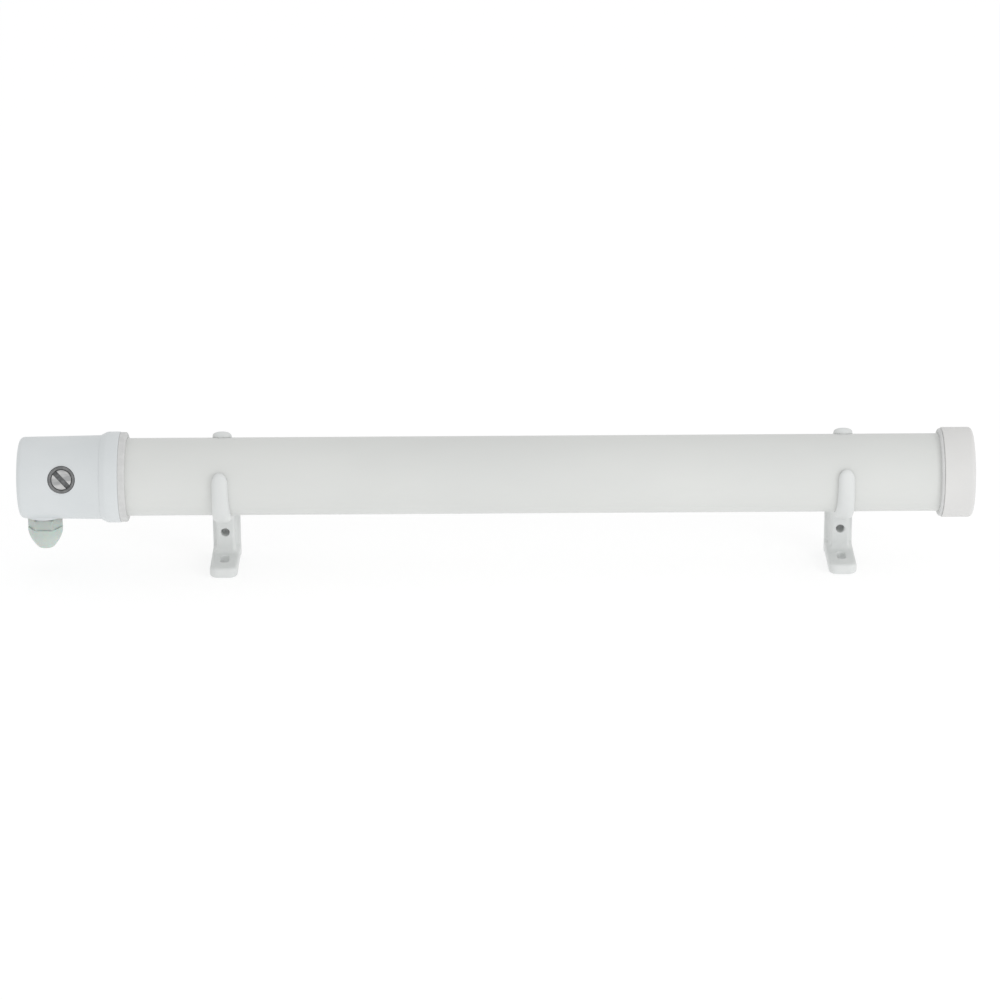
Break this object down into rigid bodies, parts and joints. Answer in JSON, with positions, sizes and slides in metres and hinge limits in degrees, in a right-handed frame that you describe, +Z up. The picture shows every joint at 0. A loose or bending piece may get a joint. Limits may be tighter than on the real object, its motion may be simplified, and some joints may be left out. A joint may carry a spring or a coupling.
{
  "type": "tubular heater with clip brackets",
  "caption": "Slim white tubular heater, a closed rod with a terminal housing, cable gland and slotted thermostat adjuster at one end, held in clip-on foot brackets.",
  "frame": {"origin": "centre of the part's outline in X and Y, on the plane that the brackets' feet stand on", "axes": "+X along the rod towards the plain end cap, -Y towards the room, +Y towards the wall that the brackets' backs lie on, +Z up"},
  "size_m": [0.6112, 0.06, 0.0934],
  "materials": {
    "white_enamel": "satin white powder coat on a thin aluminium tube",
    "housing_plastic": "satin moulded, faintly bluish white",
    "cap_plastic": "satin moulded, warm white",
    "bracket_plastic": "satin moulded white",
    "gland_nylon": "natural nylon, slightly translucent grey-green white",
    "dark_rubber": "matte moulded grey rubber",
    "seal_rubber": "matte light grey moulded rubber",
    "adjuster_metal": "brushed plated disc",
    "plated_steel": "zinc plated",
    "phenolic": "moulded phenolic",
    "terminal_nylon": "natural nylon",
    "brass": "turned brass",
    "sheath_steel": "drawn stainless sheath, heat tinted",
    "ceramic": "steatite",
    "brown_sleeve": "silicone sleeve",
    "blue_sleeve": "silicone sleeve",
    "green_sleeve": "green and yellow sleeve"
  },
  "bodies": {
    "left_support": {"left_bracket": "bracket_plastic"},
    "right_support": {"right_bracket": "bracket_plastic"},
    "heater": {"adjuster_seal_ring": "dark_rubber", "carrier_plate": "plated_steel", "earth_lead": "green_sleeve", "earth_ring_tag": "plated_steel", "earth_screw": "brass", "element_bush_lower": "ceramic", "element_bush_upper": "ceramic", "element_pin_lower": "plated_steel", "element_pin_upper": "plated_steel", "element_support_1": "plated_steel", "element_support_2": "plated_steel", "element_support_3": "plated_steel", "element_support_4": "plated_steel", "end_cap": "cap_plastic", "end_cap_fixing_screw": "plated_steel", "end_cap_seal": "seal_rubber", "gland_body": "gland_nylon", "gland_dome_nut": "gland_nylon", "gland_lock_nut": "gland_nylon", "gland_seal_insert": "dark_rubber", "gland_washer": "dark_rubber", "heater_tube": "white_enamel", "heating_element": "sheath_steel", "housing_fixing_screw": "plated_steel", "housing_seal": "seal_rubber", "live_lead": "brown_sleeve", "neutral_lead": "blue_sleeve", "overheat_cutout": "phenolic", "switched_lead": "brown_sleeve", "terminal_block": "terminal_nylon", "terminal_housing": "housing_plastic", "terminal_screw_1": "brass", "terminal_screw_2": "brass", "terminal_screw_3": "brass", "thermostat_body": "phenolic", "thermostat_bush_nut": "plated_steel", "thermostat_screw_left": "plated_steel", "thermostat_screw_right": "plated_steel"},
    "adjuster": {"thermostat_adjuster": "adjuster_metal"}
  },
  "joints": [
    {"name": "heater_turn", "type": "hinge", "parent": "left_support", "child": "heater", "pos_m": [-0.176, 0, 0.064], "axis": [1, 0, 0], "continuous": true},
    {"name": "right_bracket_slide", "type": "slide", "parent": "left_support", "child": "right_support", "axis": [1, 0, 0], "range_m": [-0.3, 0.045]},
    {"name": "adjuster_turn", "type": "hinge", "parent": "heater", "child": "adjuster", "pos_m": [-0.2766, 0, 0.064], "axis": [0, -0.9613, 0.2756], "range_deg": [-135, 135]}
  ]
}
